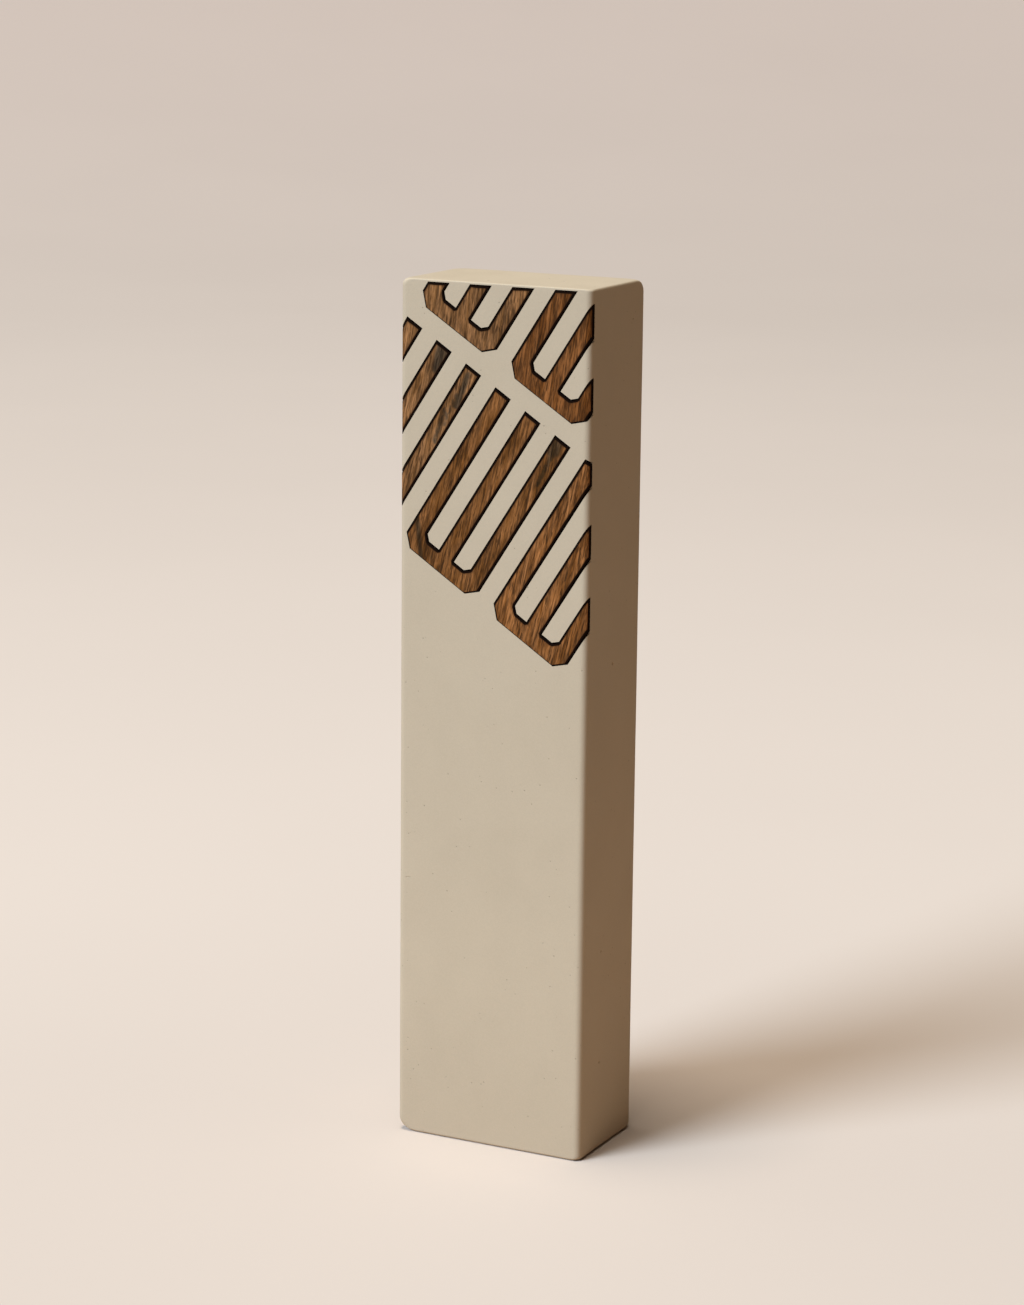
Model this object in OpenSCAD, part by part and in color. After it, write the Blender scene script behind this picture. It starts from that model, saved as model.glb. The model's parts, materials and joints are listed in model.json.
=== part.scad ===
// Mezuzah case: a slim cast concrete block with flush walnut inlays on its
// upper front, a blind bore for a rolled parchment, a silicone stopper in the
// base and two strips of mounting tape in recesses on the back.
// Millimetres. X runs along the width, -Y is the front face, +Z is up, and the
// origin is the centre of the base.

/* [Case] */
// Width of the case across its front face
case_w = 28.5; // [27:0.5:34]
// Depth of the cast case, from its front face to its back face
case_d = 16.9; // [16.5:0.1:22]
// Height of the case
case_h = 120; // [118:1:140]
// Radius of the four upright edges
upright_edge_r = 0.95; // [0.5:0.05:1.4]
// Radius of the top's front edge
top_front_edge_r = 0.2; // [0.2:0.05:0.5]
// Radius of the top's right edge
top_right_edge_r = 0.4; // [0.2:0.05:1.2]
// Radius of the top's left edge
top_left_edge_r = 1; // [0.2:0.05:1.2]
// Radius of the top's back edge
top_back_edge_r = 1.8; // [0.2:0.05:2]
// Radius of the base's front edge
base_front_edge_r = 0.4; // [0.2:0.05:1.5]
// Radius of the base's right edge
base_right_edge_r = 0.7; // [0.2:0.05:1.5]
// Radius of the base's left edge
base_left_edge_r = 1.9; // [0.2:0.05:2]
// Radius of the base's back edge
base_back_edge_r = 0.8; // [0.2:0.05:1.5]

/* [Inlay] */
// Thickness of a walnut inlay, and the depth of its pocket
inlay_t = 1; // [0.6:0.1:1.5]
// Gap between an inlay and the wall of its pocket
inlay_gap = 0.15; // [0.12:0.01:0.2]
// Distance that an inlay sits off the middle of its pocket, towards its back
settle_back = 0.1; // [0:0.01:0.11]
// Distance that an inlay sits off the middle of its pocket, towards its first tooth
settle_side = 0.03; // [0:0.01:0.11]
// Slope of a comb's back below the horizontal, in degrees
comb_slope = 32.8; // [30:0.2:36]
// Width of a tooth
tooth_w = 2.45; // [2:0.05:2.8]
// Distance from one tooth to the next
tooth_pitch = 5.29; // [5:0.01:5.6]
// Thickness of a comb's back
comb_back_t = 2.35; // [2:0.05:3]
// Length of a comb, from its back to the tips of its teeth
comb_len = 25.95; // [24:0.05:28]
// Gap between the tips of one row of combs and the backs of the next
row_gap = 2.95; // [2:0.05:4]
// Leg of the cut at both ends of a comb's back
back_corner_cut = 1.55; // [0.8:0.05:2]
// Leg of the fillet inside a comb's two outer slot corners
slot_corner_cut = 0.85; // [0.3:0.05:1]
// Sideways place of the middle comb's lower left corner
comb_x = -13.8; // [-14:0.05:-13]
// Height of the middle comb's lower left corner
comb_z = 84.2; // [83:0.1:85]
// Distance from the top of the case down to the cut tops of the inlays
inlay_top_margin = 0.5; // [0.4:0.1:1.5]

/* [Bore and stopper] */
// Diameter of the bore that holds the parchment
bore_d = 11; // [10.5:0.1:11.5]
// Height of the bore's blind end above the base
bore_top_z = 112.5; // [112.2:0.1:113]
// Diameter of the stopper's head
head_d = 12; // [11.8:0.1:12.2]
// Thickness of the stopper's head
head_t = 1.8; // [1.5:0.1:2.2]
// Distance that the head sits inside the base
head_recess = 0.3; // [0.2:0.1:0.6]
// Gap around the head and above it
head_gap = 0.25; // [0.15:0.05:0.3]
// Length of the stopper's plug above its head
plug_len = 8; // [7:0.1:8.1]
// Clearance between the stopper's ribs and the bore, on the radius
rib_clearance = 0.05; // [0.02:0.01:0.08]
// Number of ribs around the plug
rib_count = 3; // [2:1:3]
// Depth of a rib
rib_depth = 0.6; // [0.4:0.1:0.7]
// Diameter of the finger recess in the stopper
grip_d = 7.6; // [7:0.1:8]
// Width of the grip bar across the finger recess
grip_bar_w = 1.8; // [1.5:0.1:2.2]
// Depth of the finger recess
grip_depth = 4; // [3:0.5:5]

/* [Parchment] */
// Outer diameter of the rolled parchment
scroll_d = 9.2; // [8:0.1:9.4]
// Diameter of the open core of the roll
scroll_core_d = 3; // [2:0.5:4]
// Height of the rolled parchment
scroll_h = 100; // [95:1:100]
// Outer diameter of the clear sleeve around the roll
sleeve_d = 10.2; // [10:0.1:10.3]
// Thickness of the sleeve
sleeve_t = 0.3; // [0.2:0.05:0.3]
// Distance that the sleeve runs past each end of the roll
sleeve_overlap = 0.4; // [0.2:0.1:0.5]
// Gap between the stopper and the sleeve
scroll_gap = 0.3; // [0.2:0.1:0.5]

/* [Mounting tape] */
// Width of a strip of foam tape
tape_w = 19; // [15:1:20]
// Height of a strip of foam tape
tape_h = 36; // [25:1:40]
// Thickness of the foam tape
tape_t = 1; // [0.9:0.1:1.2]
// Depth of the recess that a strip sits in
tape_recess = 0.8; // [0.5:0.1:0.8]
// Gap between a strip and the wall of its recess
tape_gap = 0.3; // [0.2:0.1:0.5]
// Thickness of the paper liner over the tape
liner_t = 0.1; // [0.1:0.05:0.2]
// Length of the liner's pull tab past the strip
liner_tab = 5; // [3:1:6]
// Height of the lower strip's centre
lower_tape_z = 32; // [26:1:34]
// Height of the upper strip's centre
upper_tape_z = 88; // [80:1:92]

/* [Hidden] */
$fn = 96;
EPS = 0.01;
DIAGONAL = 2 - sqrt(2);
SETTLE = [settle_side, settle_back];
tape_proud = tape_t + liner_t - tape_recess;
front_y = -(case_d + tape_proud) / 2;
back_y = front_y + case_d;
comb_pitch = 3 * tooth_pitch;
row_pitch = comb_len + row_gap;
comb_w = 2 * tooth_pitch + tooth_w;
inlay_top_z = case_h - inlay_top_margin;
seat_depth = head_recess + head_t + head_gap;
plug_z = head_recess + head_t;
plug_top_z = plug_z + plug_len;
plug_r = bore_d / 2 - rib_clearance;
plug_core_r = plug_r - rib_depth;
plug_nose = 1.2;
rib_pitch = (plug_len - plug_nose) / rib_count;
sleeve_z = plug_top_z + scroll_gap;
scroll_z = sleeve_z + sleeve_overlap;
sleeve_h = scroll_h + 2 * sleeve_overlap;
tape_y = back_y - tape_recess;
liner_y = tape_y + tape_t;
tape_corner_r = 0.6;
recess_corner_r = 1;
CONCRETE = [0.77, 0.73, 0.64];
WALNUT = [0.45, 0.29, 0.18];
SILICONE = [0.72, 0.69, 0.62];
PARCHMENT = [0.88, 0.81, 0.66];
FILM = [0.85, 0.9, 0.92, 0.35];
FOAM = [0.93, 0.93, 0.91];
LINER = [0.86, 0.83, 0.76];

// A rectangle about the origin with round corners
module rounded_rect(w, h, r) {
    square([w - 2 * r, h], center = true);
    square([w, h - 2 * r], center = true);
    for (x = [-1, 1], y = [-1, 1])
        translate([x * (w / 2 - r), y * (h / 2 - r)]) circle(r);
}

// Stands a flat outline up against a vertical plane, t thick towards the front
module upright(y, t) {
    translate([0, y, 0]) rotate([90, 0, 0]) linear_extrude(t) children();
}

// What a round corner takes off a square one. The corner points towards +X and +Y.
module corner_waste(r) {
    difference() {
        translate([-r, -r]) square(r + EPS);
        translate([-r, -r]) circle(r);
    }
}

// The block's outline from one side, w wide, with a radius for each of its corners
module end_profile(w, top_right, top_left, base_left, base_right) {
    difference() {
        translate([-w / 2, 0]) square([w, case_h]);
        translate([w / 2, case_h]) corner_waste(top_right);
        translate([-w / 2, case_h]) rotate(90) corner_waste(top_left);
        translate([-w / 2, 0]) rotate(180) corner_waste(base_left);
        translate([w / 2, 0]) rotate(270) corner_waste(base_right);
    }
}

// The block's outline from the front
module front_profile() {
    end_profile(case_w, top_right_edge_r, top_left_edge_r, base_left_edge_r, base_right_edge_r);
}

// The block's outline from its right side
module side_profile() {
    end_profile(case_d, top_back_edge_r, top_front_edge_r, base_front_edge_r, base_back_edge_r);
}

// The plain block with all its edges rounded
module block() {
    translate([0, (front_y + back_y) / 2, 0]) intersection() {
        linear_extrude(case_h) rounded_rect(case_w, case_d, upright_edge_r);
        translate([0, case_d / 2, 0]) rotate([90, 0, 0]) linear_extrude(case_d) front_profile();
        translate([-case_w / 2, 0, 0]) rotate([90, 0, 90]) linear_extrude(case_w) side_profile();
    }
}

// One comb of three teeth, grown by g on every side.
// Its back lies along X and its teeth point along Y.
module comb(g) {
    back_cut = back_corner_cut + g * DIAGONAL;
    slot_cut = slot_corner_cut - g * DIAGONAL;
    left = -g;
    right = comb_w + g;
    tip = comb_len + g;
    slot_end = comb_back_t + g;
    slot_1 = [tooth_w + g, tooth_pitch - g];
    slot_2 = [tooth_pitch + tooth_w + g, 2 * tooth_pitch - g];
    polygon([
        [left + back_cut, -g], [right - back_cut, -g], [right, back_cut - g], [right, tip],
        [slot_2[1], tip], [slot_2[1], slot_end + slot_cut], [slot_2[1] - slot_cut, slot_end],
        [slot_2[0], slot_end], [slot_2[0], tip],
        [slot_1[1], tip], [slot_1[1], slot_end],
        [slot_1[0] + slot_cut, slot_end], [slot_1[0], slot_end + slot_cut], [slot_1[0], tip],
        [left, tip], [left, back_cut - g]
    ]);
}

// One tooth of a comb without the comb's back, grown by g
module tooth(number, g) {
    translate([number * tooth_pitch - g, comb_back_t]) square([tooth_w + 2 * g, comb_len - comb_back_t + g]);
}

// Puts an outline at one place of the slanting rows of combs, moved there by settle
module at_comb(column, row, settle) {
    translate([comb_x, comb_z]) rotate(-comb_slope)
        translate([column * comb_pitch, row * row_pitch] - settle) children();
}

// Crops an outline to the part of the front face that carries inlays
module cropped_to_face(g) {
    intersection() {
        children();
        translate([-case_w / 2 - g, 0]) square([case_w + 2 * g, inlay_top_z + g]);
    }
}

// A comb let into the front face at one place of the rows
module comb_inlay(column, row) {
    upright(front_y + inlay_t, inlay_t) cropped_to_face(0) at_comb(column, row, SETTLE) comb(0);
}

module comb_pocket(column, row) {
    upright(front_y + inlay_t, inlay_t + EPS)
        cropped_to_face(inlay_gap) at_comb(column, row, [0, 0]) comb(inlay_gap);
}

// One tooth of the comb to the left of the middle one, whose back is off the face
module tooth_inlay(number) {
    upright(front_y + inlay_t, inlay_t) cropped_to_face(0) at_comb(-1, 0, SETTLE) tooth(number, 0);
}

module tooth_pocket(number) {
    upright(front_y + inlay_t, inlay_t + EPS)
        cropped_to_face(inlay_gap) at_comb(-1, 0, [0, 0]) tooth(number, inlay_gap);
}

module tape_outline(z, gap, corner_r) {
    translate([0, z]) rounded_rect(tape_w + 2 * gap, tape_h + 2 * gap, corner_r);
}

module case_body() {
    color(CONCRETE) difference() {
        block();
        // Pockets for the inlays
        comb_pocket(-1, 1);
        comb_pocket(0, 1);
        comb_pocket(0, 0);
        comb_pocket(1, 0);
        for (number = [0, 1, 2]) tooth_pocket(number);
        // Bore for the parchment, and the seat of the stopper's head
        translate([0, 0, -EPS]) cylinder(h = bore_top_z + EPS, d = bore_d);
        translate([0, 0, -EPS]) cylinder(h = seat_depth + EPS, d = head_d + 2 * head_gap);
        // Recesses for the mounting tape
        for (z = [lower_tape_z, upper_tape_z])
            upright(back_y + EPS, tape_recess + EPS) tape_outline(z, tape_gap, recess_corner_r);
    }
}

module inlay_upper_left() { color(WALNUT) comb_inlay(-1, 1); }
module inlay_upper_right() { color(WALNUT) comb_inlay(0, 1); }
module inlay_middle() { color(WALNUT) comb_inlay(0, 0); }
module inlay_lower_right() { color(WALNUT) comb_inlay(1, 0); }
module inlay_bar_short() { color(WALNUT) tooth_inlay(0); }
module inlay_bar_medium() { color(WALNUT) tooth_inlay(1); }
module inlay_bar_long() { color(WALNUT) tooth_inlay(2); }

// Silicone plug: a flat head, a ribbed plug with a tapered nose,
// and a finger recess crossed by a grip bar
module stopper() {
    color(SILICONE) difference() {
        union() {
            translate([0, 0, head_recess]) cylinder(h = head_t, d = head_d);
            translate([0, 0, plug_z]) cylinder(h = plug_len, r = plug_core_r);
            for (i = [0:rib_count - 1])
                translate([0, 0, plug_z + (i + 0.5) * rib_pitch]) rib();
        }
        difference() {
            translate([0, 0, head_recess - EPS]) cylinder(h = grip_depth, d = grip_d);
            translate([-grip_d, -grip_bar_w / 2, 0]) cube([2 * grip_d, grip_bar_w, 2 * grip_depth]);
        }
    }
}

// One rib of the plug: steep below and sloping above, so that it goes in easily
module rib() {
    rotate_extrude() polygon([
        [0, 0], [plug_r, 0], [plug_r, rib_depth / 2],
        [plug_core_r, rib_pitch * 0.75], [0, rib_pitch * 0.75]
    ]);
}

module scroll() {
    color(PARCHMENT) translate([0, 0, scroll_z]) difference() {
        cylinder(h = scroll_h, d = scroll_d);
        translate([0, 0, -EPS]) cylinder(h = scroll_h + 2 * EPS, d = scroll_core_d);
    }
}

module scroll_sleeve() {
    color(FILM) translate([0, 0, sleeve_z]) difference() {
        cylinder(h = sleeve_h, d = sleeve_d);
        translate([0, 0, -EPS]) cylinder(h = sleeve_h + 2 * EPS, d = sleeve_d - 2 * sleeve_t);
    }
}

module tape(z) {
    color(FOAM) upright(tape_y + tape_t, tape_t) tape_outline(z, 0, tape_corner_r);
}

// Paper liner over a strip, with a rounded pull tab at its top
module tape_liner(z) {
    color(LINER) upright(liner_y + liner_t, liner_t) {
        tape_outline(z, 0, tape_corner_r);
        translate([0, z + tape_h / 2]) intersection() {
            rounded_rect(2 * liner_tab, 2 * liner_tab, liner_tab / 2);
            translate([-liner_tab, 0]) square([2 * liner_tab, liner_tab]);
        }
    }
}

module upper_tape() { tape(upper_tape_z); }
module upper_tape_liner() { tape_liner(upper_tape_z); }
module lower_tape() { tape(lower_tape_z); }
module lower_tape_liner() { tape_liner(lower_tape_z); }

case_body();
inlay_upper_left();
inlay_upper_right();
inlay_middle();
inlay_lower_right();
inlay_bar_short();
inlay_bar_medium();
inlay_bar_long();
stopper();
scroll();
scroll_sleeve();
upper_tape();
upper_tape_liner();
lower_tape();
lower_tape_liner();
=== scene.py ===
"""Looks of a mezuzah case: a cast concrete block with walnut inlays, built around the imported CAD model.

Everything is in metres in the CAD frame: the front face looks along -Y, and +Z is up.
Lengths that are easier to read in millimetres are written as a number times MM.
"""

import json
import math
import random

import bmesh
import bpy
import numpy as np
from mathutils import Matrix, Vector, noise
from mathutils.geometry import delaunay_2d_cdt

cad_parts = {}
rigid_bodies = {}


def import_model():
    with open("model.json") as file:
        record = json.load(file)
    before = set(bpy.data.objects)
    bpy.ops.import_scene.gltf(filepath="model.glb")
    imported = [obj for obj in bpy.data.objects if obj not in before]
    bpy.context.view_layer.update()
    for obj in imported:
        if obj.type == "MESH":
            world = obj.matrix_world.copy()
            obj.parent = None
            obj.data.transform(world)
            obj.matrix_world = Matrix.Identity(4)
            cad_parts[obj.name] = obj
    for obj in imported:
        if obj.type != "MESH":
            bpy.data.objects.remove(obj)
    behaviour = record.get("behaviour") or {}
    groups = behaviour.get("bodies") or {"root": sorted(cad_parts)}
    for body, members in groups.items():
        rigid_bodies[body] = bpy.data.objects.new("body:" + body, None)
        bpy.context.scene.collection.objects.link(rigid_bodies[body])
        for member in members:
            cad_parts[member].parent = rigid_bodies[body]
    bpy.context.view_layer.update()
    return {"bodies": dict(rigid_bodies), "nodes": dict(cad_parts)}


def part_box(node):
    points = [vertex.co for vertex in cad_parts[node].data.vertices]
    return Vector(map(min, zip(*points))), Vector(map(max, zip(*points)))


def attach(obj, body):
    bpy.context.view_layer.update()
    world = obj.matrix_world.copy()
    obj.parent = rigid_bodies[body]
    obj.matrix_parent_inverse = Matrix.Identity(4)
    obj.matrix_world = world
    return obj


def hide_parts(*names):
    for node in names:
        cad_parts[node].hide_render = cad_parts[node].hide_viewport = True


MM = 0.001
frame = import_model()

CASE_LO, CASE_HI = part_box("case_body")
CASE_W = CASE_HI.x - CASE_LO.x
CASE_D = CASE_HI.y - CASE_LO.y
CASE_H = CASE_HI.z - CASE_LO.z
CASE_MID_Y = (CASE_LO.y + CASE_HI.y) / 2
FRONT_Y = CASE_LO.y

# The rounding of the block's edges and the thickness of the inlays, as in the CAD model
UPRIGHT_EDGE_R = 0.95 * MM
TOP_EDGE_R = {"left": 1.0 * MM, "right": 0.4 * MM, "front": 0.2 * MM, "back": 1.8 * MM}
BASE_EDGE_R = {"left": 1.9 * MM, "right": 0.7 * MM, "front": 0.4 * MM, "back": 0.8 * MM}
INLAY_T = 1.0 * MM

# Half the width of the front's flat part
FLAT_HALF_W = CASE_W / 2 - UPRIGHT_EDGE_R

# Every inlay is above this height
INLAYS_BOTTOM_Z = 50 * MM


# ---------------------------------------------------------------- mesh helpers

def new_object(name, mesh):
    """Puts a mesh in the scene as an object."""
    piece = bpy.data.objects.new(name, mesh)
    bpy.context.scene.collection.objects.link(piece)
    return piece


def mesh_from(name, vertices, faces):
    """A mesh from points in metres and lists of point numbers."""
    mesh = bpy.data.meshes.new(name)
    mesh.from_pydata([tuple(v) for v in vertices], [], [tuple(f) for f in faces])
    mesh.validate()
    mesh.update()
    return mesh


def with_outward_faces(mesh):
    """The same mesh, with every face turned to look outwards."""
    bm = bmesh.new()
    bm.from_mesh(mesh)
    bmesh.ops.recalc_face_normals(bm, faces=bm.faces)
    bm.to_mesh(mesh)
    bm.free()
    return mesh


def coordinates(mesh):
    """The mesh's points as rows of x, y and z."""
    points = np.empty(len(mesh.vertices) * 3, np.float32)
    mesh.vertices.foreach_get("co", points)
    return points.reshape(-1, 3).astype(float)


def set_point_values(mesh, name, values):
    """Stores a number at each of the mesh's points, for a material to read."""
    attribute = mesh.attributes.new(name, "FLOAT", "POINT")
    attribute.data.foreach_set("value", np.asarray(values, np.float32))


def shade_by_angle(mesh, degrees=35):
    """Smooth shading, with a hard line at every edge that is sharper than this."""
    bm = bmesh.new()
    bm.from_mesh(mesh)
    for face in bm.faces:
        face.smooth = True
    limit = math.radians(degrees)
    for edge in bm.edges:
        edge.smooth = len(edge.link_faces) == 2 and edge.calc_face_angle(0) < limit
    bm.to_mesh(mesh)
    bm.free()


def welded_copy(node):
    """The mesh of a CAD node as a closed solid with shared corners."""
    bm = bmesh.new()
    bm.from_mesh(frame["nodes"][node].data)
    bmesh.ops.remove_doubles(bm, verts=bm.verts, dist=1e-7)
    mesh = bpy.data.meshes.new(node + "_welded")
    bm.to_mesh(mesh)
    bm.free()
    return mesh


def combined(mesh, other, operation):
    """A mesh joined with, cut by or cropped to another closed mesh."""
    piece = new_object("boolean_piece", mesh)
    tool = new_object("boolean_tool", other)
    modifier = piece.modifiers.new("boolean", "BOOLEAN")
    modifier.operation = operation
    modifier.solver = "EXACT"
    modifier.object = tool
    bpy.context.view_layer.update()
    evaluated = piece.evaluated_get(bpy.context.evaluated_depsgraph_get())
    result = bpy.data.meshes.new_from_object(evaluated)
    bpy.data.objects.remove(piece)
    bpy.data.objects.remove(tool)
    return result


def softened(mesh, width, segments=3, sharp_degrees=35):
    """A copy with its flat faces made whole and its sharp edges rounded off."""
    bm = bmesh.new()
    bm.from_mesh(mesh)
    bmesh.ops.dissolve_limit(bm, angle_limit=math.radians(1), verts=bm.verts, edges=bm.edges)
    limit = math.radians(sharp_degrees)
    sharp = [e for e in bm.edges if len(e.link_faces) == 2 and e.calc_face_angle(0) > limit]
    bmesh.ops.bevel(
        bm, geom=sharp, offset=width, segments=segments, profile=0.5, affect="EDGES", clamp_overlap=True
    )
    result = bpy.data.meshes.new(mesh.name + "_soft")
    bm.to_mesh(result)
    bm.free()
    return result


def inside_fill(loop, inner_points):
    """Triangles that fill a closed loop of 2D points, with more points inside it."""
    count = len(loop)
    points = [Vector(p) for p in loop] + [Vector(p) for p in inner_points]
    edges = [(i, (i + 1) % count) for i in range(count)]
    made, _, faces, _, _, _ = delaunay_2d_cdt(points, edges, [], 1, 1e-9)
    return made, faces


def edge_distance(points, loop):
    """Distance of each 2D point from a closed outline."""
    best = np.full(len(points), np.inf)
    for a, b in zip(loop, np.roll(loop, -1, axis=0)):
        along = b - a
        t = np.clip(((points - a) @ along) / (along @ along), 0, 1)
        best = np.minimum(best, np.linalg.norm(points - a - t[:, None] * along, axis=1))
    return best


def is_inside(points, loop):
    """True for each 2D point inside a closed outline, by counting crossings."""
    inside = np.zeros(len(points), bool)
    x, y = points[:, 0], points[:, 1]
    for (ax, ay), (bx, by) in zip(loop, np.roll(loop, -1, axis=0)):
        if ay == by:
            continue
        crosses = (ay > y) != (by > y)
        inside ^= crosses & (x < ax + (y - ay) * (bx - ax) / (by - ay))
    return inside


# ------------------------------------------------------------- material helper

class Shader:
    """A material with one Principled shader, and short calls that add nodes in front of it."""

    def __init__(self, name, roughness, specular=0.5):
        self.material = bpy.data.materials.new(name)
        self.material.use_nodes = True
        self.tree = self.material.node_tree
        self.surface = self.tree.nodes["Principled BSDF"]
        self.surface.inputs["Roughness"].default_value = roughness
        self.surface.inputs["Specular IOR Level"].default_value = specular

    def add(self, kind, inputs, **settings):
        node = self.tree.nodes.new(kind)
        for key, value in settings.items():
            setattr(node, key, value)
        for key, value in inputs.items():
            self.put(node.inputs[key], value)
        return node

    def put(self, socket, value):
        """Links an output into a socket, or writes a number or a colour there."""
        if isinstance(value, bpy.types.NodeSocket):
            self.tree.links.new(value, socket)
        elif hasattr(socket.default_value, "__len__") and len(socket.default_value) == 4:
            socket.default_value = (*value, 1.0)
        else:
            socket.default_value = value

    def set(self, name, value):
        self.put(self.surface.inputs[name], value)

    def position(self):
        return self.add("ShaderNodeTexCoord", {}).outputs["Object"]

    def mapped(self, vector, rotation=(0, 0, 0), scale=(1, 1, 1), location=(0, 0, 0)):
        """Coordinates that are turned and shifted first, and scaled after that."""
        turned = self.add(
            "ShaderNodeMapping", {"Vector": vector, "Rotation": rotation, "Location": location}
        )
        inputs = {"Vector": turned.outputs[0], "Scale": scale}
        return self.add("ShaderNodeMapping", inputs).outputs[0]

    def noise(self, vector, scale, detail=2.0, roughness=0.5, distortion=0.0):
        inputs = {
            "Vector": vector, "Scale": scale, "Detail": detail,
            "Roughness": roughness, "Distortion": distortion,
        }
        return self.add("ShaderNodeTexNoise", inputs).outputs[0]

    def cells(self, vector, scale):
        inputs = {"Vector": vector, "Scale": scale}
        return self.add("ShaderNodeTexVoronoi", inputs).outputs["Distance"]

    def along(self, vector, axis):
        return self.add("ShaderNodeSeparateXYZ", {"Vector": vector}).outputs[axis]

    def point_value(self, name):
        return self.add("ShaderNodeAttribute", {}, attribute_name=name).outputs["Fac"]

    def fade(self, value, low, high, at_low=0.0, at_high=1.0):
        """value from low to high, turned smoothly into at_low to at_high."""
        inputs = {"Value": value, "From Min": low, "From Max": high, "To Min": at_low, "To Max": at_high}
        return self.add("ShaderNodeMapRange", inputs, interpolation_type="SMOOTHSTEP").outputs[0]

    def math(self, operation, a, b=0.0):
        return self.add("ShaderNodeMath", {0: a, 1: b}, operation=operation).outputs[0]

    def mix(self, factor, a, b, blend="MIX"):
        node = self.add("ShaderNodeMix", {}, data_type="RGBA", blend_type=blend)
        self.put(node.inputs[0], factor)
        self.put(node.inputs[6], a)
        self.put(node.inputs[7], b)
        return node.outputs[2]

    def grey(self, value):
        return self.add("ShaderNodeCombineColor", {0: value, 1: value, 2: value}).outputs[0]

    def bump(self, height, distance, strength=1.0):
        inputs = {"Height": height, "Distance": distance, "Strength": strength}
        return self.add("ShaderNodeBump", inputs).outputs[0]

    def length(self, vector):
        return self.add("ShaderNodeVectorMath", {0: vector}, operation="LENGTH").outputs["Value"]


# -------------------------------------------------------------------- concrete

def edge_inset(z, side):
    """How far the block's surface is in from one of its sides at height z."""
    for rise, radius in ((z, BASE_EDGE_R[side]), (CASE_H - z, TOP_EDGE_R[side])):
        if rise < radius:
            return radius - math.sqrt(radius**2 - (radius - rise) ** 2)
    return 0.0


def section(z, flat_x, flat_y, arc_steps):
    """The block's outline at height z, always with the same number of points."""
    left, right = -CASE_W / 2 + edge_inset(z, "left"), CASE_W / 2 - edge_inset(z, "right")
    front, back = -CASE_D / 2 + edge_inset(z, "front"), CASE_D / 2 - edge_inset(z, "back")
    corners = ((right, back), (left, back), (left, front), (right, front))
    corner_growth = 0.6
    points = []
    arcs = []
    for turn, (x, y) in enumerate(corners):
        inset = max(CASE_W / 2 - abs(x), CASE_D / 2 - abs(y))
        radius = UPRIGHT_EDGE_R + corner_growth * inset
        cx = x - math.copysign(radius, x)
        cy = y - math.copysign(radius, y)
        angles = [math.radians(90 * (turn + step / arc_steps)) for step in range(arc_steps + 1)]
        arcs.append([(cx + radius * math.cos(a), cy + radius * math.sin(a)) for a in angles])
    for turn, arc in enumerate(arcs):
        points += arc
        a, b = Vector(arc[-1]), Vector(arcs[(turn + 1) % 4][0])
        flat = flat_x if turn in (0, 2) else flat_y
        points += [tuple(a.lerp(b, step / flat)) for step in range(1, flat)]
    return points


def block_heights(grid):
    """The heights of the block's rows of points: close together at its base and its top."""
    edge, edge_rows = 2.0 * MM, 18
    close = [edge * (step / edge_rows) ** 1.6 for step in range(edge_rows + 1)]
    rows = round((CASE_H - 2 * edge) / grid)
    between = [edge + (CASE_H - 2 * edge) * row / rows for row in range(1, rows)]
    return close + between + [CASE_H - z for z in reversed(close)]


def end_cap(ring, spacing):
    """Points and triangles that fill the block's outline at its base or its top."""
    lo, hi = ring.min(0), ring.max(0)
    xs, ys = np.meshgrid(np.arange(lo[0], hi[0], 2 * spacing), np.arange(lo[1], hi[1], 2 * spacing))
    inner = np.stack([xs.ravel(), ys.ravel()], 1)
    inner = inner[is_inside(inner, ring) & (edge_distance(inner, ring) > spacing)]
    return inside_fill(ring, inner)


def roughly_cast(mesh):
    """Moves the surface in by a hair, a little more in some places than in others."""
    inset, slow_swell, fine_swell = 0.055 * MM, 0.02 * MM, 0.006 * MM
    bm = bmesh.new()
    bm.from_mesh(mesh)
    bmesh.ops.recalc_face_normals(bm, faces=bm.faces)
    bm.normal_update()
    for v in bm.verts:
        slow = noise.noise(v.co * 90)
        fine = noise.noise(v.co * 500 + Vector((7, 3, 5)))
        v.co -= v.normal * (inset + slow_swell * slow + fine_swell * fine)
    bm.to_mesh(mesh)
    bm.free()
    return mesh


def block_mesh():
    """The rounded block as a fine grid, a hair inside the CAD block and not quite flat."""
    grid = 0.5 * MM
    levels = block_heights(grid)
    points = []
    for z in levels:
        ring = section(z, round(CASE_W / grid), round(CASE_D / grid), arc_steps=7)
        points += [(x, y + CASE_MID_Y, z) for x, y in ring]
    count = len(points) // len(levels)
    faces = []
    for level in range(len(levels) - 1):
        for i in range(count):
            a, b = level * count + i, level * count + (i + 1) % count
            faces.append((a, b, b + count, a + count))
    for level, turned in ((0, True), (len(levels) - 1, False)):
        ring = np.array(points[level * count:(level + 1) * count])[:, :2]
        made, triangles = end_cap(ring, grid)
        first = len(points)
        points += [(p.x, p.y, levels[level]) for p in made[count:]]
        number = [level * count + i if i < count else first + i - count for i in range(len(made))]
        for face in triangles:
            ids = [number[i] for i in face]
            faces.append(ids[::-1] if turned else ids)
    return roughly_cast(mesh_from("block", points, faces))


def blob(bm, centre, radii, seed):
    """One lumpy ellipsoid for a pore or a chip, added to bm."""
    lumpiness = 0.22
    made = bmesh.ops.create_icosphere(bm, subdivisions=2, radius=1.0)["verts"]
    for v in made:
        lump = 1 + lumpiness * noise.noise(v.co * 1.3 + Vector((seed, 2 * seed, 0)))
        v.co = Vector([c * r * lump for c, r in zip(v.co, radii)]) + Vector(centre)


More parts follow.
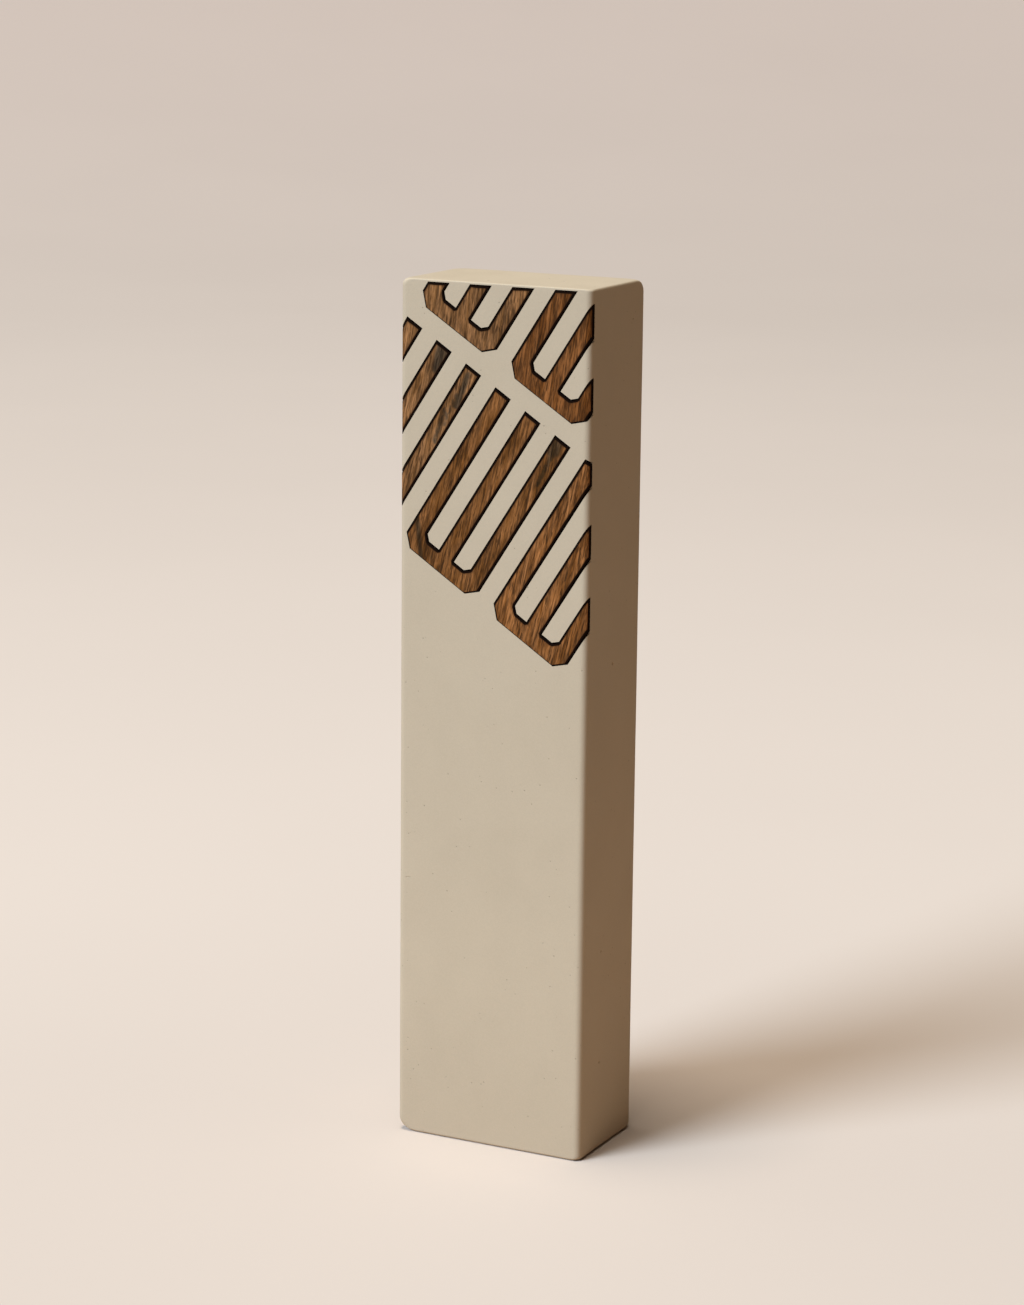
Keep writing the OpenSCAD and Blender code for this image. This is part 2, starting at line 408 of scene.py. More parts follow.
def chip_places():
    """Each chip's place and its radii in millimetres. The first two are where the photo has them."""
    left, right, back = CASE_LO.x, CASE_HI.x, CASE_HI.y
    return [
        ((right - 0.12 * MM, FRONT_Y + 0.1 * MM, 23.3 * MM), (0.22, 0.24, 0.34)),
        ((left + 1.65 * MM, FRONT_Y + 0.03 * MM, 37.0 * MM), (0.55, 0.12, 0.09)),
        ((right - 0.1 * MM, back - 0.12 * MM, 71.0 * MM), (0.3, 0.26, 0.6)),
        ((left + 0.1 * MM, back - 0.1 * MM, 12.5 * MM), (0.26, 0.3, 0.45)),
        ((left + 0.12 * MM, FRONT_Y + 0.08 * MM, 61.0 * MM), (0.12, 0.14, 0.22)),
        ((6.0 * MM, back - 0.35 * MM, 0.35 * MM), (0.7, 0.35, 0.3)),
        ((-9.0 * MM, back - 0.35 * MM, CASE_H - 0.3 * MM), (0.5, 0.3, 0.24)),
    ]


def pore_places():
    """Each air bubble's place and its radius in millimetres: two on the front, and chance ones."""
    pores = [
        ((9.46 * MM, FRONT_Y, 24.5 * MM), 0.13),
        ((-0.51 * MM, FRONT_Y, 59.8 * MM), 0.1),
    ]
    draw = random.Random(11)
    margin = 2.2 * MM
    tape_half_w = 10.5 * MM
    for _ in range(26):
        side = draw.choice(["left", "right", "back", "back", "back", "top"])
        x = draw.uniform(CASE_LO.x + margin, CASE_HI.x - margin)
        y = draw.uniform(FRONT_Y + margin, CASE_HI.y - margin)
        z = draw.uniform(margin, CASE_H - margin)
        size = draw.uniform(0.1, 0.26)
        places = {
            "left": (CASE_LO.x, y, z), "right": (CASE_HI.x, y, z),
            "top": (x, y, CASE_H), "back": (x, CASE_HI.y, z),
        }
        if side != "back" or abs(x) >= tape_half_w:
            pores.append((places[side], size))
    return pores


def defects_mesh():
    """All the chips and pores, as one set of cutters."""
    bm = bmesh.new()
    for seed, (centre, radii) in enumerate(chip_places()):
        blob(bm, centre, [r * MM for r in radii], seed)
    for seed, (centre, size) in enumerate(pore_places()):
        blob(bm, centre, [size * MM] * 3, 20 + seed)
    mesh = bpy.data.meshes.new("defects")
    bm.to_mesh(mesh)
    bm.free()
    return mesh


def concrete_material():
    """Fine cast concrete: faint clouds, sand grain, pinholes darkened with painted shade, paler rounded
    edges, painted shade towards the base, and near-black painted shade deep in the gaps round the inlays.
    """
    s = Shader("cast_concrete", roughness=0.8, specular=0.35)
    place = s.position()
    clouds = s.noise(place, 70, detail=4, roughness=0.55, distortion=0.4)
    drifts = s.noise(s.mapped(place, scale=(1, 1, 0.45), location=(3, 1, 2)), 260, detail=3)
    sand = s.noise(place, 6500, detail=2, roughness=0.6)
    colour = s.mix(s.fade(clouds, 0.3, 0.7), (0.503, 0.415, 0.302), (0.522, 0.432, 0.316))
    colour = s.mix(s.fade(drifts, 0.35, 0.7, 0.0, 0.35), colour, (0.534, 0.442, 0.323))
    colour = s.mix(1.0, colour, s.grey(s.fade(sand, 0.25, 0.75, 0.972, 1.026)), "MULTIPLY")
    # Painted shade: the concrete is darker towards the base, down to 0.92 at the bottom edge.
    painted_base_shade = s.fade(s.along(place, "Z"), 1 * MM, 24 * MM, 0.92, 1.0)
    colour = s.mix(1.0, colour, s.grey(painted_base_shade), "MULTIPLY")
    # Pinholes: small dark dots, the dark being painted shade in the pits.
    holes = s.math("ADD", s.cells(place, 900), s.fade(s.noise(place, 320), 0.45, 0.62, 0.0, 0.9))
    pinhole = s.fade(holes, 0.05, 0.11, 1.0, 0.0)
    colour = s.mix(s.math("MULTIPLY", pinhole, 0.6), colour, (0.24, 0.20, 0.145))
    # Paler colour on the rounded outer edges.
    rubbed = s.point_value("rubbed")
    colour = s.mix(s.math("MULTIPLY", rubbed, 0.12), colour, (0.60, 0.52, 0.40))
    # Painted shade: near black on the pocket walls deeper than a hair under the front, in the gaps round
    # the inlays.
    sunk = s.fade(s.along(place, "Y"), FRONT_Y + 0.085 * MM, FRONT_Y + 0.14 * MM)
    painted_gap_shade = s.math("MULTIPLY", sunk, s.fade(s.point_value("pocket"), 0.3, 0.7))
    colour = s.mix(painted_gap_shade, colour, (0.006, 0.004, 0.003))
    s.set("Base Color", colour)
    s.set("Roughness", s.fade(drifts, 0.3, 0.7, 0.74, 0.86))
    relief = s.math("SUBTRACT", s.math("MULTIPLY", sand, 0.35), s.math("MULTIPLY", pinhole, 2.0))
    relief = s.math("ADD", relief, s.math("MULTIPLY", s.noise(place, 1500, detail=3), 0.8))
    s.set("Normal", s.bump(relief, 0.014 * MM))
    return s.material


def pale_edge_share(mesh):
    """How much each point is on a rounded outer edge, from 0 to 1."""
    p = coordinates(mesh)
    to_x = CASE_W / 2 - np.abs(p[:, 0])
    to_y = CASE_D / 2 - np.abs(p[:, 1] - CASE_MID_Y)
    to_z = np.minimum(p[:, 2], CASE_H - p[:, 2])
    second_nearest = np.sort(np.stack([to_x, to_y, to_z], 1), axis=1)[:, 1]
    pale_edge_w = 0.9 * MM
    return np.clip(1 - second_nearest / pale_edge_w, 0, 1)


def pocket_walls(mesh):
    """1 at each point that can be in an inlay's pocket, and 0 on the block's outer sides."""
    p = coordinates(mesh)
    off_middle, z = np.abs(p[:, 0]), p[:, 2]
    within = (off_middle < FLAT_HALF_W + 0.15 * MM) & (z < CASE_H - 0.2 * MM) & (z > INLAYS_BOTTOM_Z)
    top_corner = (off_middle > 12.5 * MM) & (z > CASE_H - 1.5 * MM)
    shallow = p[:, 1] < FRONT_Y + INLAY_T + 0.1 * MM
    return within & ~top_corner & shallow


def make_concrete():
    """The cast block: rounded, cut to the CAD block's bore and pockets, then chipped."""
    mesh = combined(block_mesh(), welded_copy("case_body"), "INTERSECT")
    mesh = combined(mesh, defects_mesh(), "DIFFERENCE")
    mesh.materials.clear()
    mesh.materials.append(concrete_material())
    shade_by_angle(mesh, 32)
    set_point_values(mesh, "rubbed", pale_edge_share(mesh))
    set_point_values(mesh, "pocket", pocket_walls(mesh))
    piece = new_object("concrete_block", mesh)
    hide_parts("case_body")
    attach(piece, "case")
    return piece


# ---------------------------------------------------------------------- inlays

def front_corners(node):
    """The corners of a CAD inlay's front, as (x, z) points in order."""
    mesh = frame["nodes"][node].data
    numbers = {}
    directed = set()
    for polygon in mesh.polygons:
        if polygon.normal.y < -0.02:
            places = [mesh.vertices[i].co for i in polygon.vertices]
            keys = [(round(p.x, 7), round(p.z, 7)) for p in places]
            ids = [numbers.setdefault(key, len(numbers)) for key in keys]
            directed |= set(zip(ids, ids[1:] + ids[:1]))
    following = {a: b for a, b in directed if (b, a) not in directed}
    order = [next(iter(following))]
    while following[order[-1]] != order[0]:
        order.append(following[order[-1]])
    corners = list(numbers)
    return np.array([corners[i] for i in order])


def front_outline(node):
    """An inlay's outline seen from the front, counterclockwise, without points on straight lines."""
    loop = front_corners(node)
    furthest = CASE_W / 2 - 0.07 * MM
    loop[:, 0] = np.clip(loop[:, 0], -furthest, furthest)
    a, b = loop - np.roll(loop, 1, axis=0), np.roll(loop, -1, axis=0) - loop
    bends = np.abs(a[:, 0] * b[:, 1] - a[:, 1] * b[:, 0]) > 1e-12
    loop = loop[bends]
    area = np.sum(loop[:, 0] * np.roll(loop[:, 1], -1) - loop[:, 1] * np.roll(loop[:, 0], -1))
    return loop if area > 0 else loop[::-1]


def resampled(loop, spacing):
    """The same closed outline with points no further apart than spacing."""
    points = []
    for a, b in zip(loop, np.roll(loop, -1, axis=0)):
        steps = max(1, math.ceil(np.linalg.norm(b - a) / spacing))
        points += [a + (b - a) * i / steps for i in range(steps)]
    return np.array(points)


def inner_points(loop, rings, spacing):
    """Points inside an outline: rows at set distances from its edge, then a plain grid."""
    row_spacing = 0.2 * MM
    found = []
    for ring in rings:
        for a, b in zip(loop, np.roll(loop, -1, axis=0)):
            way = (b - a) / np.linalg.norm(b - a)
            inward = np.array([-way[1], way[0]])
            steps = max(1, round(np.linalg.norm(b - a) / row_spacing))
            found += [a + (b - a) * (i + 0.5) / steps + inward * ring for i in range(steps)]
    found = np.array(found)
    near = edge_distance(found, loop)
    ring_of = np.array(rings)[np.argmin(np.abs(near[:, None] - np.array(rings)), axis=1)]
    found = found[is_inside(found, loop) & (np.abs(near - ring_of) < 0.02 * ring_of)]
    lo, hi = loop.min(0), loop.max(0)
    xs, zs = np.meshgrid(np.arange(lo[0], hi[0], spacing), np.arange(lo[1], hi[1], spacing))
    grid = np.stack([xs.ravel(), zs.ravel()], 1)
    grid = grid[is_inside(grid, loop) & (edge_distance(grid, loop) > rings[-1] + 0.6 * spacing)]
    return np.concatenate([found, grid])


# The slope of the combs' backs in degrees, and how far the char, with painted shade in it, reaches in
# from a cut edge
COMB_SLOPE = 32.8
CHAR_AND_SHADE_REACH = 0.27 * MM

# Dark streaks in the walnut, in millimetres on the front face:
# (x, z) from, (x, z) to, half width, strength
STREAKS = [
    ((-7.2, 111.9), (-8.4, 108.3), 1.15, 1.2),
    ((-8.4, 107.0), (-9.6, 103.8), 0.3, 0.45),
    ((-3.9, 107.6), (-5.6, 103.2), 0.5, 0.95),
    ((-5.6, 105.0), (-7.4, 100.6), 0.32, 0.7),
    ((-7.4, 102.6), (-8.9, 98.2), 0.42, 0.85),
    ((9.8, 100.9), (8.9, 98.4), 1.2, 1.2),
    ((8.9, 98.2), (6.6, 93.6), 0.45, 0.85),
    ((-11.5, 87.6), (-10.9, 82.2), 0.45, 0.9),
    ((-9.9, 85.0), (-9.0, 80.6), 0.3, 0.45),
    ((-1.6, 82.0), (-1.1, 79.0), 0.22, 0.4),
]


def streak_strength(points):
    """How dark the walnut's streaks are at each (x, z) point, from 0 to 1."""
    total = np.zeros(len(points))
    for start, end, half_width, strength in STREAKS:
        a, b = np.array(start) * MM, np.array(end) * MM
        along = b - a
        t = np.clip(((points - a) @ along) / (along @ along), 0, 1)
        off = np.linalg.norm(points - a - t[:, None] * along, axis=1) / (half_width * MM)
        total = np.maximum(total, strength * np.clip(1.35 - off, 0, 1))
    return total


def char_and_shade_reach(points, loop):
    """Distance of each 2D point from the cut edges, as a share of how far their char and its painted
    shade reach in.

    The laser char is real, but its uneven reach is painted shade: widest on the teeth's right sides and
    tips, less on their left sides, and hardly any on the long back edge.
    """
    slope = math.radians(COMB_SLOPE)
    teeth_way = np.array([math.sin(slope), math.cos(slope)])
    best = np.full(len(points), np.inf)
    for a, b in zip(loop, np.roll(loop, -1, axis=0)):
        way = (b - a) / np.linalg.norm(b - a)
        outward = np.array([way[1], -way[0]])
        facing = outward @ teeth_way
        if abs(outward[0]) > 0.99:  # at the side of the face
            reach = 0.1 * MM
        elif facing < -0.95:  # the back edge
            reach = 0.04 * MM
        elif facing < -0.3:  # a cut corner of the back
            reach = 0.12 * MM
        elif outward[0] < -0.5:  # the left side of a tooth
            reach = 0.8 * CHAR_AND_SHADE_REACH
        else:
            reach = CHAR_AND_SHADE_REACH
        t = np.clip(((points - a) @ way) / np.linalg.norm(b - a), 0, 1)
        off = np.linalg.norm(points - a - t[:, None] * (b - a), axis=1)
        best = np.minimum(best, off / reach)
    return best


def front_depth(flat, near, lowest, sunk):
    """The depth of each front point: sunk, softly broken at the edge, and round the block's edge."""
    broken_r = 0.08 * MM
    waver = 0.008 * MM
    rounding = broken_r - np.sqrt(np.maximum(broken_r**2 - np.maximum(broken_r - near, 0) ** 2, 0))
    lift = np.array([noise.noise(Vector((x, 0, z)) * 300) for x, z in flat]) * waver
    beyond = np.maximum(np.abs(flat[:, 0]) - FLAT_HALF_W, 0)
    turn_r = UPRIGHT_EDGE_R - sunk
    wrap = turn_r - np.sqrt(np.maximum(turn_r**2 - beyond**2, 0))
    return lowest + sunk + rounding + wrap + np.abs(lift) * (near > broken_r)


def inlay_mesh(node, sunk):
    """One inlay: its front, its sides and its back, with its char and painted shade at the edges, and its
    streaks.
    """
    lo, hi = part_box(node)
    outline = front_outline(node)
    loop = resampled(outline, 0.3 * MM)
    rings = [r * MM for r in (0.035, 0.08, 0.14, 0.22, 0.3, 0.4, 0.52)]
    made, triangles = inside_fill(loop, inner_points(outline, rings, 0.4 * MM))
    flat = np.array([(p.x, p.y) for p in made])
    depth = front_depth(flat, edge_distance(flat, outline), lo.y, sunk)
    points = [(x, y, z) for (x, z), y in zip(flat, depth)]
    faces = [tuple(f) for f in triangles]
    count = len(loop)
    first = len(points)
    points += [(x, hi.y, z) for x, z in loop]
    for i in range(count):
        j = (i + 1) % count
        faces.append((j, i, first + i, first + j))
    _, back_triangles = inside_fill(loop, [])
    faces += [tuple(first + i for i in reversed(f)) for f in back_triangles]
    mesh = with_outward_faces(mesh_from(node + "_wood", points, faces))
    shade_by_angle(mesh, 40)
    on_back = np.zeros(len(mesh.vertices) - first)
    set_point_values(mesh, "char", np.concatenate([char_and_shade_reach(flat, outline), on_back]))
    set_point_values(mesh, "streak", np.concatenate([streak_strength(flat), on_back]))
    return mesh


def walnut_material(name, lean, dark, light, seed):
    """Oiled walnut with its grain lean degrees off upright, and laser-charred edges darkened further by
    painted shade.
    """
    s = Shader(name, roughness=0.7, specular=0.08)
    place = s.position()
    turn = (0, math.radians(-lean), 0)
    wander = s.mapped(place, rotation=turn, scale=(1, 1, 0.13), location=(seed, 0, seed / 2))
    fine = s.mapped(place, rotation=turn, scale=(1, 1, 0.075), location=(seed, 0, 0))
    bands = s.noise(wander, 1350, detail=4, roughness=0.6, distortion=0.7)
    fibres = s.noise(fine, 5200, detail=3, roughness=0.7)
    pores = s.noise(s.mapped(place, rotation=turn, scale=(1, 1, 0.11)), 4600, detail=1)
    figure = s.noise(s.mapped(place, rotation=turn, scale=(1, 1, 0.5)), 420, detail=2)
    colour = s.mix(s.fade(bands, 0.3, 0.7), dark, light)
    colour = s.mix(1.0, colour, s.grey(s.fade(fibres, 0.34, 0.66, 0.45, 1.55)), "MULTIPLY")
    colour = s.mix(1.0, colour, s.grey(s.fade(figure, 0.3, 0.7, 0.85, 1.14)), "MULTIPLY")
    pore = s.fade(pores, 0.6, 0.7)
    colour = s.mix(s.math("MULTIPLY", pore, 0.75), colour, (0.040, 0.017, 0.005))
    ragged = s.math("ADD", s.point_value("streak"), s.fade(fibres, 0.3, 0.7, -0.28, 0.2))
    streak = s.fade(ragged, 0.25, 0.8)
    stained = s.mix(1.0, colour, (0.34, 0.44, 0.62), "MULTIPLY")
    colour = s.mix(streak, colour, stained)
    # Char and painted shade along the cut edges: a brown band fading in, then near black at the edge.
    from_edge = s.math("ADD", s.point_value("char"), s.fade(figure, 0.3, 0.7, -0.1, 0.1))
    scorch_and_shade = s.fade(from_edge, 0.9, 1.9, 0.45, 0.0)
    colour = s.mix(scorch_and_shade, colour, (0.050, 0.020, 0.006))
    char = s.fade(from_edge, 0.85, 1.2, 1.0, 0.0)
    colour = s.mix(char, colour, (0.0075, 0.0025, 0.0008))
    s.set("Base Color", colour)
    s.set("Roughness", s.math("MAXIMUM", s.fade(fibres, 0.3, 0.7, 0.6, 0.75), char))
    height = s.math("SUBTRACT", s.math("MULTIPLY", fibres, 0.6), s.math("MULTIPLY", pore, 1.0))
    s.set("Normal", s.bump(height, 0.03 * MM, strength=0.8))
    return s.material


# Dark and light tones of walnut
BROWN = ((0.100, 0.036, 0.0060), (0.225, 0.094, 0.0300))
PALE = ((0.128, 0.044, 0.0075), (0.282, 0.118, 0.0390))
RED = ((0.094, 0.030, 0.0045), (0.202, 0.078, 0.0230))
GREY = ((0.110, 0.047, 0.0130), (0.278, 0.132, 0.0520))

# For each inlay: the grain's lean in degrees, its two tones, and how far it is sunk in millimetres
WALNUT_CUTS = {
    "inlay_upper_left": (6, *GREY, 0.05),
    "inlay_upper_right": (8, *RED, 0.04),
    "inlay_middle": (12, *BROWN, 0.05),
    "inlay_lower_right": (12, *PALE, 0.06),
    "inlay_bar_short": (8, *GREY, 0.05),
    "inlay_bar_medium": (12, *GREY, 0.06),
    "inlay_bar_long": (13, *GREY, 0.04),
}


def make_inlays():
    """The seven pieces of walnut, each with its own part of the grain."""
    for number, (node, cut) in enumerate(WALNUT_CUTS.items()):
        lean, dark, light, sunk = cut
        mesh = inlay_mesh(node, sunk * MM)
        mesh.materials.append(walnut_material("walnut_" + node, lean, dark, light, 0.37 * number))
        piece = new_object(node + "_wood", mesh)
        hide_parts(node)
        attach(piece, "case")


# ------------------------------------------------- stopper, parchment and tape

def silicone_material():
    """Matt beige silicone with a little dust."""
    s = Shader("silicone", roughness=0.55, specular=0.4)
    place = s.position()
    clouds = s.noise(place, 400, detail=3)
    dust = s.noise(place, 5000, detail=2)
    s.set("Base Color", s.mix(s.fade(clouds, 0.3, 0.7), (0.40, 0.355, 0.285), (0.46, 0.41, 0.335)))
    s.set("Roughness", s.fade(dust, 0.3, 0.7, 0.45, 0.65))
    s.surface.inputs["Subsurface Weight"].default_value = 0.15
    s.surface.inputs["Subsurface Radius"].default_value = (0.002, 0.0015, 0.001)
    s.set("Normal", s.bump(dust, 0.01 * MM))
    return s.material


def make_stopper():
    """The CAD plug with its edges softened."""
    mesh = softened(welded_copy("stopper"), 0.14 * MM)
    mesh.materials.clear()
    mesh.materials.append(silicone_material())
    shade_by_angle(mesh, 40)
    piece = new_object("silicone_stopper", mesh)
    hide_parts("stopper")
    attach(piece, "stopper")


def rolled_faces(rows, steps):
    """The faces of a rolled sheet: its two sides, its two edges along the roll, and its rims."""
    width = 2 * (steps + 1)
    faces = []
    for row in range(rows):
        for i in range(steps):
            a = row * width + 2 * i
            b, c, d = a + 2, a + 2 + width, a + width
            faces += [(a, d, c, b), (a + 1, b + 1, c + 1, d + 1)]
        a = row * width
        faces.append((a, a + 1, a + 1 + width, a + width))
        b = a + 2 * steps
        faces.append((b, b + width, b + 1 + width, b + 1))
    for i in range(steps):
        a = 2 * i
        faces.append((a, a + 2, a + 3, a + 1))
        a += rows * width
        faces.append((a, a + 1, a + 3, a + 2))
    return faces


def rolled_sheet(name, inner_r, outer_r, thickness, turns, low, high, unevenness):
    """A sheet rolled up about Z: turns of a spiral from inner_r to outer_r, as a closed solid."""
    steps_per_turn, rows = 56, 40
    steps = round(turns * steps_per_turn)
    pitch = (outer_r - inner_r - thickness) / turns
    most = pitch * 0.2
    points = []
    for row in range(rows + 1):
        share = row / rows
        for i in range(steps + 1):
            angle = 2 * math.pi * turns * i / steps
            radius = inner_r + pitch * angle / (2 * math.pi)
            z = low + (high - low) * share
            if 0 < i < steps:
                waver = unevenness * noise.noise(Vector((i / 40, share * 3, 0)))
                radius += max(-most, min(most, waver))
                z += unevenness * 2 * noise.noise(Vector((i / 25, 5, 0))) * (share - 0.5) * 2
            z = min(max(z, low), high)
            for r in (radius, radius + thickness):
                points.append((r * math.cos(angle), r * math.sin(angle), z))
    mesh = with_outward_faces(mesh_from(name, points, rolled_faces(rows, steps)))
    shade_by_angle(mesh, 50)
    return mesh


def parchment_material():
    """Cream calfskin: soft clouds, fine follicle specks and a faint grain."""
    s = Shader("parchment", roughness=0.62, specular=0.35)
    place = s.position()
    clouds = s.noise(place, 180, detail=5, roughness=0.6)
    specks = s.cells(place, 2200)
    fibres = s.noise(s.mapped(place, scale=(1, 1, 0.3)), 3000, detail=3)
    colour = s.mix(s.fade(clouds, 0.3, 0.72), (0.62, 0.50, 0.31), (0.76, 0.66, 0.46))
    colour = s.mix(s.fade(specks, 0.05, 0.2, 0.3, 0.0), colour, (0.42, 0.30, 0.16))
    colour = s.mix(1.0, colour, s.grey(s.fade(fibres, 0.3, 0.7, 0.93, 1.05)), "MULTIPLY")
    s.set("Base Color", colour)
    s.set("Roughness", s.fade(clouds, 0.3, 0.7, 0.52, 0.7))
    s.set("Normal", s.bump(s.math("ADD", fibres, clouds), 0.03 * MM))
    return s.material


def film_material():
    """Clear plastic film, slightly hazy."""
    s = Shader("clear_film", roughness=0.14, specular=0.5)
    haze = s.noise(s.position(), 900, detail=3)
    s.set("Base Color", s.mix(s.fade(haze, 0.3, 0.7), (0.80, 0.83, 0.84), (0.9, 0.92, 0.93)))
    s.set("Roughness", s.fade(haze, 0.3, 0.7, 0.1, 0.24))
    s.surface.inputs["Alpha"].default_value = 0.22
    s.set("Normal", s.bump(haze, 0.02 * MM))
    return s.material


def make_scroll():
    """The rolled parchment, and the film that keeps it closed."""
    lo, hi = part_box("scroll")
    mesh = rolled_sheet(
        "parchment_roll", inner_r=1.6 * MM, outer_r=(hi.x - lo.x) / 2, thickness=0.32 * MM,
        turns=6.6, low=lo.z, high=hi.z, unevenness=0.09 * MM,
    )
    mesh.materials.append(parchment_material())
    roll = new_object("parchment_roll", mesh)
    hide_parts("scroll")
    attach(roll, "scroll")
    lo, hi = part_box("scroll_sleeve")
    outer = (hi.x - lo.x) / 2
    mesh = rolled_sheet(
        "film_sleeve", inner_r=outer - 0.3 * MM, outer_r=outer, thickness=0.09 * MM,
        turns=1.2, low=lo.z, high=hi.z, unevenness=0.02 * MM,
    )
    mesh.materials.append(film_material())
    film = new_object("film_sleeve", mesh)
    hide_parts("scroll_sleeve")
    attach(film, "scroll")


def foam_material():
    """Off-white foam with small open cells, darkened inside with painted shade."""
    s = Shader("tape_foam", roughness=0.85, specular=0.3)
    place = s.position()
    cells = s.cells(place, 5200)
    clouds = s.noise(place, 500, detail=2)
    colour = s.mix(s.fade(clouds, 0.3, 0.7), (0.70, 0.69, 0.65), (0.78, 0.77, 0.74))
    # Dark dots in the open cells: painted shade in their hollows.
    colour = s.mix(s.fade(cells, 0.1, 0.5, 0.35, 0.0), colour, (0.42, 0.41, 0.38))
    s.set("Base Color", colour)
    s.set("Normal", s.bump(cells, 0.05 * MM))
    return s.material


def liner_material():
    """Waxed release paper: warm, slightly glossy, with faint fibres and creases."""
    s = Shader("release_liner", roughness=0.45, specular=0.4)
    place = s.position()
    fibres = s.noise(s.mapped(place, rotation=(0, 0.5, 0), scale=(1, 1, 0.2)), 3200, detail=4)
    clouds = s.noise(place, 220, detail=4)
    creases = s.noise(s.mapped(place, rotation=(0, 1.2, 0), scale=(1, 1, 0.35)), 150, distortion=1.5)
    colour = s.mix(s.fade(clouds, 0.3, 0.7), (0.60, 0.50, 0.35), (0.68, 0.585, 0.43))
    colour = s.mix(1.0, colour, s.grey(s.fade(fibres, 0.3, 0.7, 0.93, 1.06)), "MULTIPLY")
    s.set("Base Color", colour)
    s.set("Roughness", s.fade(clouds, 0.3, 0.7, 0.36, 0.52))
    s.set("Normal", s.bump(s.math("ADD", s.math("MULTIPLY", fibres, 0.2), creases), 0.05 * MM))
    return s.material


def make_tapes():
    """The two foam tapes in the back, each with its paper liner."""
    foam, liner = foam_material(), liner_material()
    kinds = (("_tape", foam, "foam", 0.12), ("_tape_liner", liner, "liner_paper", 0.03))
    for place in ("upper", "lower"):
        for ending, material, slot, bevel in kinds:
            node = place + ending
            mesh = softened(welded_copy(node), bevel * MM, segments=2, sharp_degrees=50)
            mesh.materials.clear()
            mesh.materials.append(material)
            shade_by_angle(mesh, 40)
            piece = new_object(node + "_piece", mesh)
            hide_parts(node)
            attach(piece, "case")


# ------------------------------------------------------ camera, floor, lights

def make_camera():
    """The photograph's view: from the right and a little above, with a long lens."""
    azimuth, elevation, roll = math.radians(26.74), math.radians(12.2), math.radians(0.6)
    distance = 481 * MM
    aim_left, aim_up = 1.0 * MM, 8.36 * MM
    back = Vector((
        math.sin(azimuth) * math.cos(elevation),
        -math.cos(azimuth) * math.cos(elevation),
        math.sin(elevation),
    ))
    right = Vector((math.cos(azimuth), math.sin(azimuth), 0))
    up = back.cross(right)
    turned_right = right * math.cos(roll) + up * math.sin(roll)
    turned_up = up * math.cos(roll) - right * math.sin(roll)
    data = bpy.data.cameras.new("camera")
    data.sensor_width = 36.0
    data.lens = 96.4
    camera = bpy.data.objects.new("camera", data)
    bpy.context.scene.collection.objects.link(camera)
    aim = Vector((0, 0, CASE_H / 2)) - turned_right * aim_left + turned_up * aim_up
    matrix = Matrix((turned_right, turned_up, back)).transposed().to_4x4()
    matrix.translation = aim + back * distance
    camera.matrix_world = matrix
    bpy.context.scene.camera = camera


def stage_mesh():
    """A flat disc that curves up into a wall all round."""
    flat_r, bend_r, bend_degrees, steps, around = 1.0, 2.0, 48, 12, 96
    rings = [(r, 0.0) for r in (0.05, 0.3, flat_r)]
    for step in range(1, steps + 1):
        a = math.radians(bend_degrees * step / steps)
        rings.append((flat_r + bend_r * math.sin(a), bend_r * (1 - math.cos(a))))
    points = [(0, 0, 0)]
    for radius, z in rings:
        for i in range(around):
            a = 2 * math.pi * i / around
            points.append((radius * math.cos(a), radius * math.sin(a), z))
    faces = [(0, 1 + i, 1 + (i + 1) % around) for i in range(around)]
    for ring in range(len(rings) - 1):
        for i in range(around):
            a, b = 1 + ring * around + i, 1 + ring * around + (i + 1) % around
            faces.append((a, a + around, b + around, b))
    mesh = mesh_from("stage", points, faces)
    for polygon in mesh.polygons:
        polygon.use_smooth = True
    return mesh


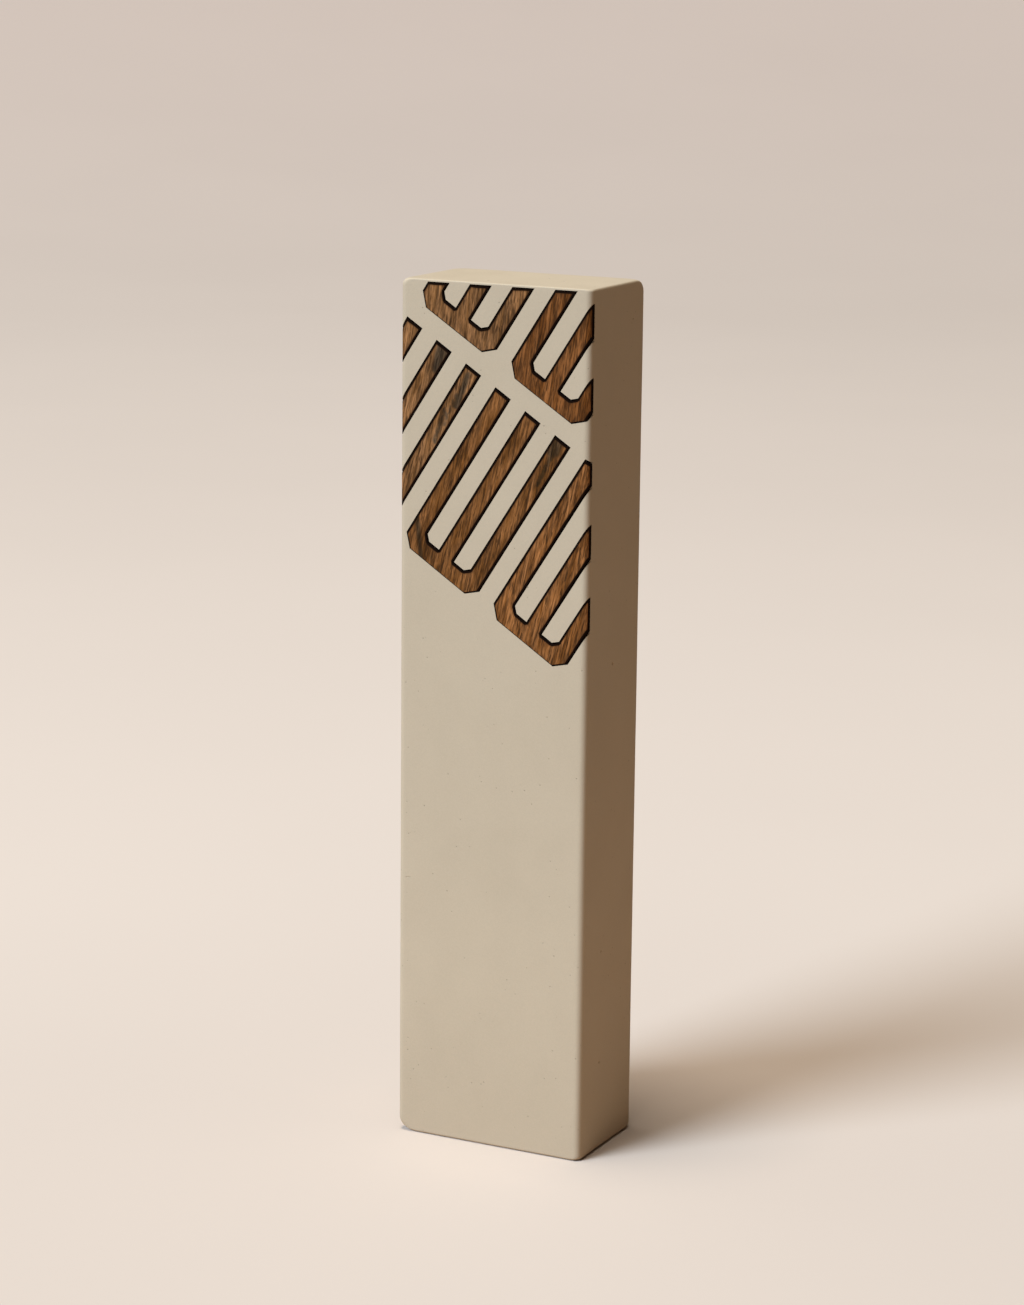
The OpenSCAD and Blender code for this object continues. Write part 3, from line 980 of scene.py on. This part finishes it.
def stage_paint():
    """Pale paint. What it throws back on the case is darker and warmer than what the camera sees."""
    s = Shader("stage_paint", roughness=0.9, specular=0.2)
    place = s.position()
    clouds = s.noise(place, 6, detail=3)
    from_case = s.length(place)
    # A spot on the floor, ahead of the case and to its right
    from_spot = s.length(s.mapped(place, location=(-0.045, 0.09, 0)))
    seen = s.mix(s.fade(from_spot, 0.08, 0.25), (0.620, 0.541, 0.485), (0.664, 0.583, 0.524))
    seen = s.mix(s.fade(from_spot, 0.35, 0.7), seen, (0.636, 0.556, 0.498))
    # Darker and warmer far off, up the curved wall: painted shade.
    seen = s.mix(s.fade(from_spot, 0.9, 2.0), seen, (0.640, 0.530, 0.468))
    seen = s.mix(1.0, seen, s.grey(s.fade(clouds, 0.3, 0.7, 0.992, 1.008)), "MULTIPLY")
    near, far = (0.57, 0.415, 0.302), (0.32, 0.230, 0.168)
    thrown_back = s.mix(s.fade(from_case, 0.07, 0.3), near, far)
    to_camera = s.add("ShaderNodeLightPath", {}).outputs["Is Camera Ray"]
    s.set("Base Color", s.mix(to_camera, thrown_back, seen))
    return s.material


def make_stage():
    """The floor. It rides with the stopper, so that the stopper stands on it in every pose."""
    mesh = stage_mesh()
    mesh.materials.append(stage_paint())
    floor = new_object("stage", mesh)
    floor.parent = frame["bodies"]["stopper"]


def area_light(name, azimuth, elevation, distance, width, height, power, colour):
    """An oval light aimed at the middle of the case. Azimuth 0 is in front, and 90 to the right."""
    a, e = math.radians(azimuth), math.radians(elevation)
    way = Vector((math.sin(a) * math.cos(e), -math.cos(a) * math.cos(e), math.sin(e)))
    data = bpy.data.lights.new(name, "AREA")
    data.shape = "ELLIPSE"
    data.size = width
    data.size_y = height
    data.energy = power
    data.color = colour
    light = bpy.data.objects.new(name, data)
    bpy.context.scene.collection.objects.link(light)
    light.location = Vector((0, 0, CASE_H / 2)) + way * distance
    light.rotation_mode = "QUATERNION"
    light.rotation_quaternion = (-way).to_track_quat("-Z", "Y")


def make_lights():
    """A big cool key from the left and a small warm light overhead, in a room with no other light."""
    area_light(
        "key", azimuth=-28.4, elevation=37, distance=6.0, width=2.87, height=1.78,
        power=452, colour=(0.73, 0.87, 1.0),
    )
    area_light(
        "overhead", azimuth=-40, elevation=84, distance=3.0, width=1.0, height=1.0,
        power=69, colour=(1.0, 0.876, 0.723),
    )
    world = bpy.data.worlds.new("room")
    world.use_nodes = True
    world.node_tree.nodes["Background"].inputs["Strength"].default_value = 0.0
    bpy.context.scene.world = world
    bpy.context.scene.view_settings.view_transform = "Standard"


make_camera()
make_stage()
make_lights()
make_concrete()
make_inlays()
make_stopper()
make_scroll()
make_tapes()
